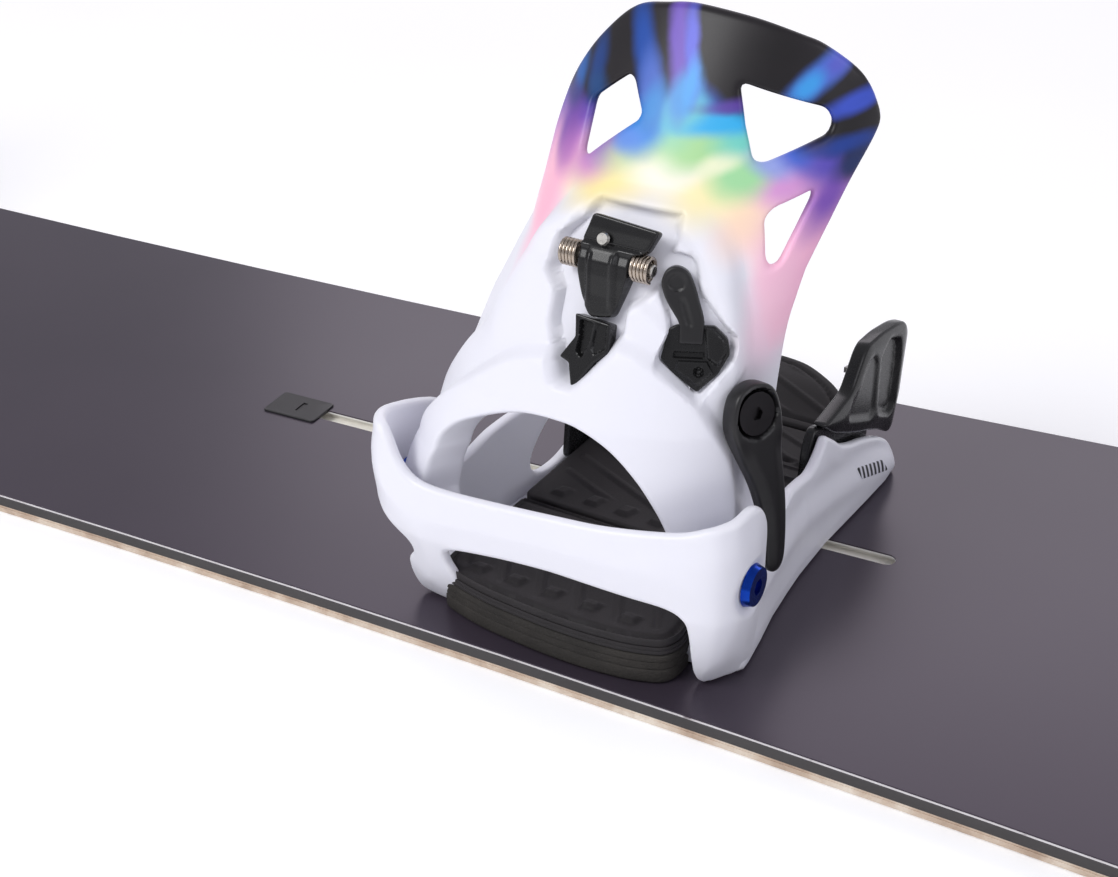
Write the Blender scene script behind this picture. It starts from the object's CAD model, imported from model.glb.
import bpy, bmesh, math
import numpy as np
from mathutils import Vector, Matrix
from mathutils.geometry import delaunay_2d_cdt

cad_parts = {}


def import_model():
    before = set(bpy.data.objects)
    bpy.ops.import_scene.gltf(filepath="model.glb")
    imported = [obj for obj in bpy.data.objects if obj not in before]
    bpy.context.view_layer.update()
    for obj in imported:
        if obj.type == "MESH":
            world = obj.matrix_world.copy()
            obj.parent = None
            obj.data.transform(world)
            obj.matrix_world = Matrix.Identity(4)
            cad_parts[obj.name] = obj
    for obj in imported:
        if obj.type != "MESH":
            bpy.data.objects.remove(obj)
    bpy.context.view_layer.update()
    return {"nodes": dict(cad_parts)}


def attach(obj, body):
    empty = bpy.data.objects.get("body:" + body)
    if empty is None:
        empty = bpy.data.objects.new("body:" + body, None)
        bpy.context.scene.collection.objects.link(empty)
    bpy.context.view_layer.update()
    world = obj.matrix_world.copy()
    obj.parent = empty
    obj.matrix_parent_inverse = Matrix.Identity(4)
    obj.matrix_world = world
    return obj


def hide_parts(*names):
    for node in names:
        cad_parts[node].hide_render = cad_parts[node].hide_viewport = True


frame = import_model()
NODES = frame["nodes"]

# ------------------------------------------------------------------ binding frame
BT = math.radians(4.2)
XB = np.array([math.cos(BT), -math.sin(BT), 0.0])
YB = np.array([math.sin(BT), math.cos(BT), 0.0])
ZB = np.array([0.0, 0.0, 1.0])
ORG = np.array([316.0, 0.0, 8.5])


def world(P):
    """Binding points in mm (n, 3) to the row frame in metres."""
    P = np.atleast_2d(np.asarray(P, float))
    return (ORG + P[:, :1] * XB + P[:, 1:2] * YB + P[:, 2:] * ZB) / 1000.0


# ------------------------------------------------------------------ 2-D helpers
def catmull(P, n=8, closed=True):
    P = np.asarray(P, float)
    Q = np.vstack([P[-1:], P, P[:2]]) if closed else np.vstack([2 * P[0] - P[1], P, 2 * P[-1] - P[-2]])
    out = []
    m = len(P) if closed else len(P) - 1
    for i in range(1, m + 1):
        a, b, c, d = Q[i - 1], Q[i], Q[i + 1], Q[i + 2]
        for t in np.arange(n) / n:
            out.append(0.5 * (2 * b + (c - a) * t + (2 * a - 5 * b + 4 * c - d) * t * t + (3 * b - a - 3 * c + d) * t ** 3))
    if not closed:
        out.append(P[-1])
    return np.array(out)


def round_poly(P, r, n=6):
    """Polygon with its corners rounded by radius-like distance r (number or list)."""
    P = np.asarray(P, float)
    R = r if hasattr(r, "__len__") else [r] * len(P)
    out = []
    for i in range(len(P)):
        a, b, c = P[i - 1], P[i], P[(i + 1) % len(P)]
        la, lc = np.linalg.norm(a - b), np.linalg.norm(c - b)
        k = min(R[i], 0.48 * la, 0.48 * lc)
        if k <= 1e-6:
            out.append(b)
            continue
        p, q = b + (a - b) / la * k, b + (c - b) / lc * k
        for t in np.linspace(0, 1, n):
            out.append((1 - t) ** 2 * p + 2 * t * (1 - t) * b + t * t * q)
    return np.array(out)


def resample(P, ds):
    P = np.asarray(P, float)
    Q = np.vstack([P, P[:1]])
    seg = np.linalg.norm(np.diff(Q, axis=0), axis=1)
    s = np.concatenate([[0], np.cumsum(seg)])
    n = max(6, int(round(s[-1] / ds)))
    t = np.arange(n) / n * s[-1]
    return np.stack([np.interp(t, s, Q[:, 0]), np.interp(t, s, Q[:, 1])], 1)


def seg_dist(P, A, B):
    """Distance of points P to the nearest of the segments A-B."""
    out = np.empty(len(P))
    D = B - A
    L = np.maximum((D * D).sum(1), 1e-12)
    for i in range(0, len(P), 4000):
        q = P[i:i + 4000, None, :]
        t = np.clip(((q - A) * D).sum(2) / L, 0, 1)
        c = A + t[..., None] * D
        out[i:i + 4000] = np.sqrt(((q - c) ** 2).sum(2)).min(1)
    return out


def inside(P, loops):
    r = np.zeros(len(P), bool)
    for L in loops:
        A, B = L, np.roll(L, -1, 0)
        for i in range(0, len(P), 4000):
            x, y = P[i:i + 4000, 0, None], P[i:i + 4000, 1, None]
            c = (A[:, 1] > y) != (B[:, 1] > y)
            dy = np.where(np.abs(B[:, 1] - A[:, 1]) < 1e-12, 1e-12, B[:, 1] - A[:, 1])
            xi = A[:, 0] + (y - A[:, 1]) * (B[:, 0] - A[:, 0]) / dy
            r[i:i + 4000] ^= ((c & (x < xi)).sum(1) % 2).astype(bool)
    return r


def sdf(P, loops):
    A = np.vstack(loops)
    B = np.vstack([np.roll(L, -1, 0) for L in loops])
    d = seg_dist(P, A, B)
    return np.where(inside(P, loops), d, -d)


def smooth(x):
    x = np.clip(x, 0, 1)
    return x * x * (3 - 2 * x)


# ------------------------------------------------------------------ slab: plate of any outline, rounded rims, mapped to 3-D
def slab(loops, w0, w1, r, mapf, g, ds=None, feat=()):
    """Plate over the region of loops (outer first, then holes). w0 and w1 are numbers or
    functions of the domain points; r is the rim radius; mapf(u, v, w) gives binding mm."""
    ds = ds or g
    L = [resample(l, ds) for l in loops]
    B = np.vstack(L)
    edges, k = [], 0
    for l in L:
        n = len(l)
        edges += [(k + i, k + (i + 1) % n) for i in range(n)]
        k += n
    pts = [B]
    T = np.vstack([np.roll(l, -1, 0) - np.roll(l, 1, 0) for l in L])
    T /= np.maximum(np.linalg.norm(T, axis=1, keepdims=True), 1e-9)
    N = np.stack([-T[:, 1], T[:, 0]], 1)
    sgn = np.where(inside(B + N * 0.05, L), 1.0, -1.0)[:, None]
    N = N * sgn
    for f in (0.1, 0.32, 0.64, 1.0):
        c = B + N * (r * f)
        keep = sdf(c, L) > 0.94 * r * f
        pts.append(c[keep])
    lo, hi = B.min(0), B.max(0)
    gx, gy = np.arange(lo[0], hi[0], g), np.arange(lo[1], hi[1], g * 0.866)
    X, Y = np.meshgrid(gx, gy)
    X = X + (np.arange(len(gy))[:, None] % 2) * g * 0.5
    G = np.stack([X.ravel(), Y.ravel()], 1)
    G = G[sdf(G, L) > r + 0.45 * g]
    for loop, offs in feat:
        q = resample(loop, g)
        tq = np.roll(q, -1, 0) - np.roll(q, 1, 0)
        tq /= np.maximum(np.linalg.norm(tq, axis=1, keepdims=True), 1e-9)
        nq = np.stack([-tq[:, 1], tq[:, 0]], 1)
        nq *= np.where(inside(q + nq * 0.05, [q]), 1.0, -1.0)[:, None]
        for o in offs:
            c = q + nq * o
            c = c[(np.abs(sdf(c, [q]) - o) < 0.25) & (sdf(c, L) > r * 0.7)]
            if len(c):
                G = G[np.sqrt(((G[:, None, :] - c[None]) ** 2).sum(2)).min(1) > 0.5 * g] if len(G) * len(c) < 6e7 else G
                pts.append(c)
    pts.append(G)
    P = np.vstack(pts)
    res = delaunay_2d_cdt([Vector((float(a), float(b))) for a, b in P], edges, [], 0, 1e-5)
    V = np.array([[v.x, v.y] for v in res[0]])
    F = np.array([f for f in res[2] if len(f) == 3], int)
    cen = V[F].mean(1)
    a2 = np.abs(np.cross(V[F[:, 1]] - V[F[:, 0]], V[F[:, 2]] - V[F[:, 0]]))
    F = F[inside(cen, L) & (a2 > 1e-9)]
    used = np.unique(F)
    rem = -np.ones(len(V), int)
    rem[used] = np.arange(len(used))
    V, F = V[used], rem[F]
    c = np.cross(V[F[:, 1]] - V[F[:, 0]], V[F[:, 2]] - V[F[:, 0]])
    F[c < 0] = F[c < 0][:, ::-1]
    d = np.maximum(sdf(V, L), 0)
    f = 1 - np.sqrt(np.clip(1 - (1 - np.clip(d / r, 0, 1)) ** 2, 0, 1))
    W1 = (w1(V) if callable(w1) else np.full(len(V), float(w1))) - r * f
    W0 = (w0(V) if callable(w0) else np.full(len(V), float(w0))) + r * f
    n = len(V)
    top, bot = mapf(V[:, 0], V[:, 1], W1), mapf(V[:, 0], V[:, 1], W0)
    E = np.vstack([F[:, [0, 1]], F[:, [1, 2]], F[:, [2, 0]]])
    key = {}
    for a, b in E:
        key[(a, b)] = 1
    side = [(a, b) for a, b in key if (b, a) not in key]
    faces = [tuple(t) for t in F] + [tuple(int(x) + n for x in t[::-1]) for t in F] + [(b, a, a + n, b + n) for a, b in side]
    faces = [tuple(int(x) for x in t) for t in faces]
    dom = np.vstack([np.column_stack([V, W1]), np.column_stack([V, W0])])
    return np.vstack([top, bot]), faces, dom


def merge(*parts):
    vs, fs, ds, k = [], [], [], 0
    for v, f, d in parts:
        vs.append(v)
        ds.append(d)
        fs += [tuple(i + k for i in t) for t in f]
        k += len(v)
    return np.vstack(vs), fs, np.vstack(ds)


def new_object(name, V, F, dom, mat, body, node, angle=40):
    me = bpy.data.meshes.new(name)
    me.from_pydata([tuple(map(float, p)) for p in V], [], F)
    me.validate()
    if dom is not None and len(me.vertices) == len(dom):
        at = me.attributes.new("dom", "FLOAT_VECTOR", "POINT")
        at.data.foreach_set("vector", np.asarray(dom, np.float32).ravel())
    bm = bmesh.new()
    bm.from_mesh(me)
    bmesh.ops.recalc_face_normals(bm, faces=bm.faces)
    for e in bm.edges:
        if len(e.link_faces) == 2 and e.calc_face_angle(0) > math.radians(angle):
            e.smooth = False
    for f in bm.faces:
        f.smooth = True
    bm.to_mesh(me)
    bm.free()
    o = bpy.data.objects.new(name, me)
    bpy.context.scene.collection.objects.link(o)
    me.materials.append(mat)
    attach(o, body)
    if node:
        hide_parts(*( [node] if isinstance(node, str) else node))
    return o


def pair(name, geo, mat, body, node, angle=40):
    """The right piece and its mirror image on the left binding. body 'board' is shared."""
    V, F, dom = geo
    W = world(V)
    out = []
    for s in ("right", "left"):
        Q = W.copy()
        G = F
        if s == "left":
            Q[:, 0] *= -1
            G = [t[::-1] for t in F]
        b = body if body == "board" else f"{s}_{body}"
        nd = [f"{s}_{n}" for n in ([node] if isinstance(node, str) else (node or []))]
        out.append(new_object(f"{s}_{name}_skin", Q, G, dom, mat, b, nd, angle))
    return out


# ------------------------------------------------------------------ materials
def mat_new(name):
    m = bpy.data.materials.new(name)
    m.use_nodes = True
    nt = m.node_tree
    for n in list(nt.nodes):
        nt.nodes.remove(n)
    out = nt.nodes.new("ShaderNodeOutputMaterial")
    p = nt.nodes.new("ShaderNodeBsdfPrincipled")
    nt.links.new(p.outputs[0], out.inputs[0])
    return m, nt, p


def N(nt, kind, **kw):
    n = nt.nodes.new(kind)
    for k, v in kw.items():
        if k.startswith("i_"):
            n.inputs[k[2:].replace("_", " ")].default_value = v
        else:
            setattr(n, k, v)
    return n


def math_n(nt, op, a, b=None, c=None, clamp=False):
    n = nt.nodes.new("ShaderNodeMath")
    n.operation = op
    n.use_clamp = clamp
    for i, x in enumerate((a, b, c)):
        if x is None:
            continue
        if isinstance(x, (int, float)):
            n.inputs[i].default_value = x
        else:
            nt.links.new(x, n.inputs[i])
    return n.outputs[0]


def ramp(nt, fac, stops, interp="LINEAR"):
    n = nt.nodes.new("ShaderNodeValToRGB")
    n.color_ramp.interpolation = interp
    el = n.color_ramp.elements
    while len(el) > 1:
        el.remove(el[-1])
    el[0].position = stops[0][0]
    el[0].color = (*stops[0][1], 1) if len(stops[0][1]) == 3 else stops[0][1]
    for p, c in stops[1:]:
        e = el.new(p)
        e.color = (*c, 1) if len(c) == 3 else c
    nt.links.new(fac, n.inputs[0])
    return n.outputs[0]


def mixc(nt, fac, a, b):
    n = nt.nodes.new("ShaderNodeMix")
    n.data_type = "RGBA"
    for i, x in ((0, fac), (6, a), (7, b)):
        if isinstance(x, (int, float)):
            n.inputs[i].default_value = x
        elif isinstance(x, tuple):
            n.inputs[i].default_value = (*x, 1)
        else:
            nt.links.new(x, n.inputs[i])
    return n.outputs[2]


def tex_coord(nt):
    return nt.nodes.new("ShaderNodeTexCoord").outputs["Object"]


def noise(nt, scale, detail=3, rough=0.5, vec=None, dist=0.0):
    n = nt.nodes.new("ShaderNodeTexNoise")
    n.inputs["Scale"].default_value = scale
    n.inputs["Detail"].default_value = detail
    n.inputs["Roughness"].default_value = rough
    n.inputs["Distortion"].default_value = dist
    nt.links.new(vec or tex_coord(nt), n.inputs["Vector"])
    return n.outputs[0]


def bump(nt, p, h, strength, dist):
    b = nt.nodes.new("ShaderNodeBump")
    b.inputs["Strength"].default_value = strength
    b.inputs["Distance"].default_value = dist
    nt.links.new(h, b.inputs["Height"])
    nt.links.new(b.outputs[0], p.inputs["Normal"])
    return b


def plastic(name, col, var, rough, rvar, bscale, bstr, spec=0.5, bdist=0.0002, coat=0.0, sss=0.0, wear=0.9):
    """Moulded plastic or rubber: slow colour drift, fine grain in the bump and roughness."""
    m, nt, p = mat_new(name)
    tc = tex_coord(nt)
    slow = noise(nt, 14, 4, 0.55, tc)
    fine = noise(nt, bscale, 3, 0.6, tc)
    c2 = tuple(max(0, min(1, x * (1 + var))) for x in col)
    c1 = tuple(max(0, min(1, x * (1 - var))) for x in col)
    colr = ramp(nt, slow, [(0.3, c1), (0.7, c2)])
    # corners rub a little lighter and smoother, in patches
    geo = nt.nodes.new("ShaderNodeNewGeometry")
    edge = ramp(nt, geo.outputs["Pointiness"], [(0.515, (0, 0, 0)), (0.60, (1, 1, 1))])
    worn = math_n(nt, "MULTIPLY", edge, math_n(nt, "MULTIPLY", slow, wear), clamp=True)
    nt.links.new(mixc(nt, worn, colr, tuple(min(0.9, x * 1.5 + 0.03) for x in col)), p.inputs["Base Color"])
    rr = math_n(nt, "MULTIPLY_ADD", fine, rvar, rough - rvar * 0.5)
    nt.links.new(math_n(nt, "MULTIPLY_ADD", worn, -0.12, rr, clamp=True), p.inputs["Roughness"])
    p.inputs["Specular IOR Level"].default_value = spec
    p.inputs["Coat Weight"].default_value = coat
    p.inputs["Coat Roughness"].default_value = 0.12
    if sss:
        p.inputs["Subsurface Weight"].default_value = sss
        p.inputs["Subsurface Radius"].default_value = (0.004, 0.004, 0.005)
    bump(nt, p, fine, bstr, bdist)
    return m


def metal(name, col, rough, scale, aniso=0.0, dark=0.75):
    m, nt, p = mat_new(name)
    tc = tex_coord(nt)
    slow = noise(nt, 40, 4, 0.6, tc)
    fine = noise(nt, scale, 2, 0.5, tc)
    nt.links.new(ramp(nt, slow, [(0.3, tuple(x * dark for x in col)), (0.7, col)]), p.inputs["Base Color"])
    p.inputs["Metallic"].default_value = 1.0
    nt.links.new(math_n(nt, "MULTIPLY_ADD", fine, 0.22, rough - 0.11), p.inputs["Roughness"])
    p.inputs["Anisotropic"].default_value = aniso
    bump(nt, p, fine, 0.15, 0.0001)
    return m


M = {}
M["white"] = plastic("white_nylon", (0.80, 0.80, 0.865), 0.012, 0.40, 0.10, 1800, 0.06, sss=0.04)
M["black"] = plastic("black_nylon", (0.0105, 0.010, 0.011), 0.20, 0.40, 0.16, 2600, 0.16, spec=0.42)
M["blackgloss"] = plastic("black_nylon_smooth", (0.009, 0.009, 0.0095), 0.15, 0.27, 0.10, 1800, 0.08, spec=0.34)
M["rubber"] = plastic("pad_rubber", (0.019, 0.0165, 0.018), 0.22, 0.66, 0.14, 1500, 0.35, spec=0.3)
M["abs"] = plastic("sidewall_abs", (0.031, 0.028, 0.029), 0.25, 0.52, 0.2, 900, 0.25, spec=0.36)
M["steel"] = metal("zinc_steel", (0.66, 0.64, 0.60), 0.30, 900)
M["spring"] = metal("spring_steel", (0.50, 0.43, 0.36), 0.26, 1500)
M["rail"] = plastic("rail_satin_metal", (0.90, 0.88, 0.82), 0.05, 0.34, 0.12, 500, 0.10)
M["darksteel"] = metal("black_oxide_steel", (0.055, 0.052, 0.055), 0.34, 1200)


def laminate_mat():
    """Glass laminate: pale where the ground rim looks up, dark resin on its side."""
    m, nt, p = mat_new("glass_laminate")
    tc = tex_coord(nt)
    g = nt.nodes.new("ShaderNodeNewGeometry")
    sp = nt.nodes.new("ShaderNodeSeparateXYZ")
    nt.links.new(g.outputs["True Normal"], sp.inputs[0])
    n = noise(nt, 160, 3, 0.6, tc)
    f = noise(nt, 900, 2, 0.5, tc)
    pale = ramp(nt, n, [(0.26, (0.30, 0.27, 0.28)), (0.36, (0.74, 0.71, 0.72)), (0.7, (0.84, 0.82, 0.83))])
    dark = ramp(nt, n, [(0.3, (0.035, 0.030, 0.032)), (0.7, (0.060, 0.052, 0.056))])
    nt.links.new(mixc(nt, math_n(nt, "GREATER_THAN", sp.outputs[2], 0.6), dark, pale), p.inputs["Base Color"])
    nt.links.new(math_n(nt, "MULTIPLY_ADD", f, 0.15, 0.42), p.inputs["Roughness"])
    bump(nt, p, f, 0.1, 0.0001)
    return m


M["laminate"] = laminate_mat()
M["core"] = plastic("poplar_core", (0.66, 0.50, 0.32), 0.15, 0.6, 0.1, 300, 0.2)


def blue_mat():
    m, nt, p = mat_new("blue_anodised")
    tc = tex_coord(nt)
    f = noise(nt, 900, 2, 0.5, tc)
    s = noise(nt, 60, 3, 0.5, tc)
    nt.links.new(ramp(nt, s, [(0.3, (0.003, 0.022, 0.24)), (0.7, (0.006, 0.07, 0.50))]), p.inputs["Base Color"])
    p.inputs["Metallic"].default_value = 0.9
    nt.links.new(math_n(nt, "MULTIPLY_ADD", f, 0.15, 0.16), p.inputs["Roughness"])
    bump(nt, p, f, 0.1, 0.0001)
    return m


M["blue"] = blue_mat()


def foam_mat():
    m, nt, p = mat_new("eva_foam")
    tc = tex_coord(nt)
    v = nt.nodes.new("ShaderNodeTexVoronoi")
    v.inputs["Scale"].default_value = 900
    nt.links.new(tc, v.inputs["Vector"])
    s = noise(nt, 30, 4, 0.6, tc)
    nt.links.new(ramp(nt, s, [(0.3, (0.018, 0.0165, 0.0155)), (0.7, (0.040, 0.036, 0.032))]), p.inputs["Base Color"])
    p.inputs["Roughness"].default_value = 0.85
    p.inputs["Specular IOR Level"].default_value = 0.3
    bump(nt, p, v.outputs["Distance"], 0.5, 0.0004)
    return m


M["foam"] = foam_mat()


def topsheet_mat():
    m, nt, p = mat_new("topsheet_satin")
    tc = tex_coord(nt)
    slow = noise(nt, 5, 5, 0.55, tc)
    fine = noise(nt, 1400, 2, 0.5, tc)
    col = ramp(nt, slow, [(0.25, (0.030, 0.024, 0.034)), (0.75, (0.042, 0.033, 0.046))])
    nt.links.new(col, p.inputs["Base Color"])
    nt.links.new(math_n(nt, "MULTIPLY_ADD", slow, 0.12, 0.24), p.inputs["Roughness"])
    p.inputs["Specular IOR Level"].default_value = 0.47
    p.inputs["Specular Tint"].default_value = (0.92, 0.84, 0.97, 1)
    bump(nt, p, fine, 0.04, 0.0001)
    return m


M["topsheet"] = topsheet_mat()


def edge_mat():
    """Steel edge: tan-brown wear over bright ground steel."""
    m, nt, p = mat_new("worn_steel_edge")
    tc = tex_coord(nt)
    s = noise(nt, 55, 5, 0.6, tc, 0.3)
    f = noise(nt, 900, 2, 0.5, tc)
    col = ramp(nt, s, [(0.28, (0.36, 0.25, 0.18)), (0.48, (0.58, 0.46, 0.36)), (0.70, (0.78, 0.70, 0.60))])
    nt.links.new(col, p.inputs["Base Color"])
    p.inputs["Metallic"].default_value = 0.25
    nt.links.new(math_n(nt, "MULTIPLY_ADD", f, 0.2, 0.34), p.inputs["Roughness"])
    bump(nt, p, f, 0.2, 0.0001)
    return m


M["edge"] = edge_mat()
M["base"] = plastic("running_base", (0.035, 0.035, 0.04), 0.2, 0.42, 0.1, 700, 0.12)


def rgb(r, g, b):
    return tuple(((v / 255.0) / 12.92 if v < 10.3 else (((v / 255.0) + 0.055) / 1.055) ** 2.4) for v in (r, g, b))


# Airbrushed fields of the highback: place (degrees round the shell, height), half sizes in mm,
# turn in degrees, colour, strength, softness
FIELDS = [
    (-37, 164, 15, 25, 0, (250, 186, 208), 1.0, 0.9), (62, 160, 17, 40, 0, (250, 184, 216), 1.0, 0.9),
    (58, 142, 15, 22, 0, (252, 208, 224), 0.6, 1.0),
    (46, 172, 18, 15, 0, (250, 200, 216), 0.9, 1.0), (38, 171, 12, 13, 0, (252, 220, 194), 0.9, 1.0),
    (-7, 177, 24, 9, 14, (248, 230, 160), 0.95, 0.9), (24, 180, 18, 12, 0, (250, 236, 180), 0.95, 0.9),
    (-15, 182, 17, 8, 24, (205, 140, 195), 0.95, 0.9), (-34, 187, 11, 13, 0, (110, 66, 162), 1.0, 0.9),
    (-31, 180, 10, 9, 0, (178, 112, 184), 0.7, 1.0),
    (65, 176, 12, 15, 0, (128, 84, 184), 1.0, 0.9), (47, 182, 17, 8, -10, (214, 152, 212), 0.95, 0.9),
    (-10, 189, 15, 7, 26, (142, 110, 186), 0.9, 0.9),
    (3, 188, 20, 7, 18, (188, 214, 160), 0.85, 0.9), (12, 184, 16, 6, 10, (246, 240, 226), 0.95, 0.8),
    (33, 185, 13, 9, 0, (160, 216, 160), 1.0, 0.8), (17.5, 192, 15, 8, 16, (166, 212, 150), 1.0, 0.8),
    (26, 188, 9, 4, 20, (246, 244, 214), 0.7, 0.9), (31, 196, 12, 6, 10, (112, 204, 190), 0.9, 0.9),
    (7, 198, 12, 9, 0, (140, 206, 176), 0.95, 0.9),
    (-1, 196, 10, 10, 0, (56, 134, 214), 1.0, 0.8), (-4, 191, 7, 5, 0, (92, 138, 222), 0.8, 0.9),
    (22, 201, 22, 5, 6, (52, 170, 226), 1.0, 0.8), (10.4, 204, 9, 7, 0, (104, 190, 200), 0.95, 0.8),
    (42, 188, 12, 5, -14, (146, 160, 224), 0.95, 0.9), (51, 189.5, 13, 5, -20, (72, 104, 206), 1.0, 0.9),
    (61, 187, 12, 8, 0, (92, 78, 184), 1.0, 0.9)]
RAYS = [
    (-8, 219, 5.2, 21, 33, (24, 72, 158), 1.0, 0.85), (-2, 208, 5.4, 13, 26, (72, 104, 190), 1.0, 0.8),
    (1, 203, 6, 8, 0, (58, 138, 208), 0.95, 0.9),
    (3.0, 223, 4.2, 22, 22, (112, 84, 184), 1.0, 0.8), (9.2, 208, 6.0, 9, 0, (78, 150, 216), 1.0, 0.8),
    (7.0, 223, 2.8, 17, 22, (98, 104, 214), 1.0, 0.8), (10.2, 212, 3.0, 9, 10, (78, 164, 232), 0.9, 0.9),
    (-37.5, 203, 7, 9, 0, (20, 88, 164), 1.0, 0.9), (-27, 210, 6, 12, 14, (18, 58, 124), 0.95, 0.9),
    (-24, 203, 7, 5, 0, (24, 68, 122), 0.9, 0.9), (-38, 196, 10, 5, 0, (60, 50, 122), 0.8, 0.9),
    (24, 206, 13, 2.6, 6, (88, 60, 152), 0.9, 0.9),
    (46.5, 217, 6.4, 15, -42, (70, 112, 204), 1.0, 0.75), (49.5, 220.5, 6, 6, -42, (88, 88, 190), 0.8, 0.9),
    (43.5, 213.0, 5, 6, -42, (58, 156, 226), 0.9, 0.9),
    (62, 206.2, 14, 4.6, 14, (58, 84, 198), 1.0, 0.8), (66, 191.5, 18, 3.6, 2, (22, 62, 152), 0.95, 0.9),
    (70, 185, 9, 6, 0, (20, 42, 98), 0.95, 0.9)]
# height where the black begins, round the shell
EDGE = [(-90, 197), (-39, 197), (-24, 199), (-10, 202.5), (-1.6, 204), (4.8, 207), (10.4, 214), (15.5, 210.5), (22, 206.3), (28, 204.6),
        (36, 199.5), (49, 192.8), (58, 190.5), (64, 189.5), (70, 181.5), (90, 178)]


def fade_mat():
    """Highback: white shell that fades up through airbrushed pastels to black, with rays of colour in the black."""
    m, nt, p = mat_new("highback_fade")
    at = nt.nodes.new("ShaderNodeAttribute")
    at.attribute_name = "dom"
    sep = nt.nodes.new("ShaderNodeSeparateXYZ")
    nt.links.new(at.outputs["Vector"], sep.inputs[0])
    tc = tex_coord(nt)
    n1 = noise(nt, 55, 3, 0.5, tc)
    n2 = noise(nt, 48, 3, 0.5, tc, 0.4)
    u = math_n(nt, "ADD", sep.outputs[0], math_n(nt, "MULTIPLY_ADD", n1, 4, -2))
    z = math_n(nt, "ADD", sep.outputs[1], math_n(nt, "MULTIPLY_ADD", n2, 3, -1.5))
    co = nt.nodes.new("ShaderNodeCombineXYZ")
    nt.links.new(u, co.inputs[0])
    nt.links.new(z, co.inputs[1])

    def field(col, f):
        ph, zz, rx, ry, turn, c, k, soft = f
        mp = nt.nodes.new("ShaderNodeMapping")
        mp.vector_type = "TEXTURE"
        mp.inputs["Location"].default_value = (ph * 1.25, zz, 0)
        mp.inputs["Rotation"].default_value = (0, 0, math.radians(turn))
        mp.inputs["Scale"].default_value = (rx * 1.42, ry * 1.42, 1)
        nt.links.new(co.outputs[0], mp.inputs["Vector"])
        g = nt.nodes.new("ShaderNodeTexGradient")
        g.gradient_type = "SPHERICAL"
        nt.links.new(mp.outputs[0], g.inputs[0])
        mr = nt.nodes.new("ShaderNodeMapRange")
        mr.interpolation_type = "SMOOTHSTEP"
        mr.inputs["From Max"].default_value = soft * 0.95
        mr.inputs["To Max"].default_value = k
        nt.links.new(g.outputs["Fac"], mr.inputs["Value"])
        return mixc(nt, mr.outputs[0], col, rgb(*c))

    pos = math_n(nt, "MULTIPLY_ADD", u, 1 / 225.0, 0.5)
    P0 = lambda a: 0.5 + a * 1.25 / 225.0
    # ground under the fields: height of the first colour round the shell, then a run of pastels up to the black
    z0 = ramp(nt, pos, [(P0(a), ((h - 100) / 120.0,) * 3) for a, h in
                        [(-60, 146), (-40, 148), (-28, 158), (-20, 170), (-8, 173), (8, 180), (22, 178), (34, 166), (42, 156), (52, 140), (62, 122), (80, 118)]])
    z1 = ramp(nt, pos, [(P0(a), ((h - 100) / 120.0,) * 3) for a, h in
                        [(-60, 199), (-30, 200), (-10, 203), (4, 207), (12, 213), (22, 206), (36, 200), (58, 191), (70, 182), (80, 178)]])
    z0 = math_n(nt, "MULTIPLY_ADD", z0, 120, 100)
    z1 = math_n(nt, "MULTIPLY_ADD", z1, 120, 100)
    t = math_n(nt, "DIVIDE", math_n(nt, "SUBTRACT", z, z0), math_n(nt, "SUBTRACT", z1, z0), clamp=True)
    mid = ramp(nt, t, [(0.0, (0.80, 0.80, 0.865)), (0.14, rgb(246, 240, 226)), (0.34, rgb(236, 234, 190)), (0.52, rgb(172, 216, 168)),
                       (0.70, rgb(110, 190, 214)), (0.86, rgb(62, 140, 214)), (1.0, rgb(58, 92, 190))])
    flk = ramp(nt, t, [(0.0, (0.80, 0.80, 0.865)), (0.16, rgb(252, 214, 226)), (0.40, rgb(250, 184, 212)), (0.60, rgb(206, 140, 202)),
                       (0.78, rgb(122, 82, 178)), (0.92, rgb(60, 60, 150)), (1.0, rgb(24, 50, 110))])
    side = ramp(nt, pos, [(P0(-26), (1, 1, 1)), (P0(-14), (0.3,) * 3), (P0(-4), (0, 0, 0)), (P0(32), (0, 0, 0)), (P0(42), (0.6,) * 3), (P0(50), (1, 1, 1))])
    col = mixc(nt, side, mid, flk)
    for f in FIELDS:
        col = field(col, f)
    zb = ramp(nt, pos, [(0.5 + a * 1.25 / 225.0, ((h - 170) / 50.0,) * 3) for a, h in EDGE], "LINEAR")
    d = math_n(nt, "SUBTRACT", z, math_n(nt, "MULTIPLY_ADD", zb, 50, 170))
    mr = nt.nodes.new("ShaderNodeMapRange")
    mr.interpolation_type = "SMOOTHSTEP"
    mr.inputs["From Min"].default_value = -4.2
    mr.inputs["From Max"].default_value = 3.4
    nt.links.new(d, mr.inputs["Value"])
    n3 = noise(nt, 30, 3, 0.5, tc)
    blk = ramp(nt, n3, [(0.3, rgb(22, 19, 22)), (0.7, rgb(31, 27, 31))])
    col = mixc(nt, mr.outputs[0], col, blk)
    for f in RAYS:
        col = field(col, f)
    nt.links.new(col, p.inputs["Base Color"])
    fine = noise(nt, 1800, 3, 0.6, tc)
    nt.links.new(math_n(nt, "MULTIPLY_ADD", fine, 0.1, 0.36), p.inputs["Roughness"])
    p.inputs["Specular IOR Level"].default_value = 0.36
    p.inputs["Subsurface Weight"].default_value = 0.02
    p.inputs["Subsurface Radius"].default_value = (0.004, 0.004, 0.005)
    bump(nt, p, fine, 0.06, 0.0002)
    return m


M["fade"] = fade_mat()

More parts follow.
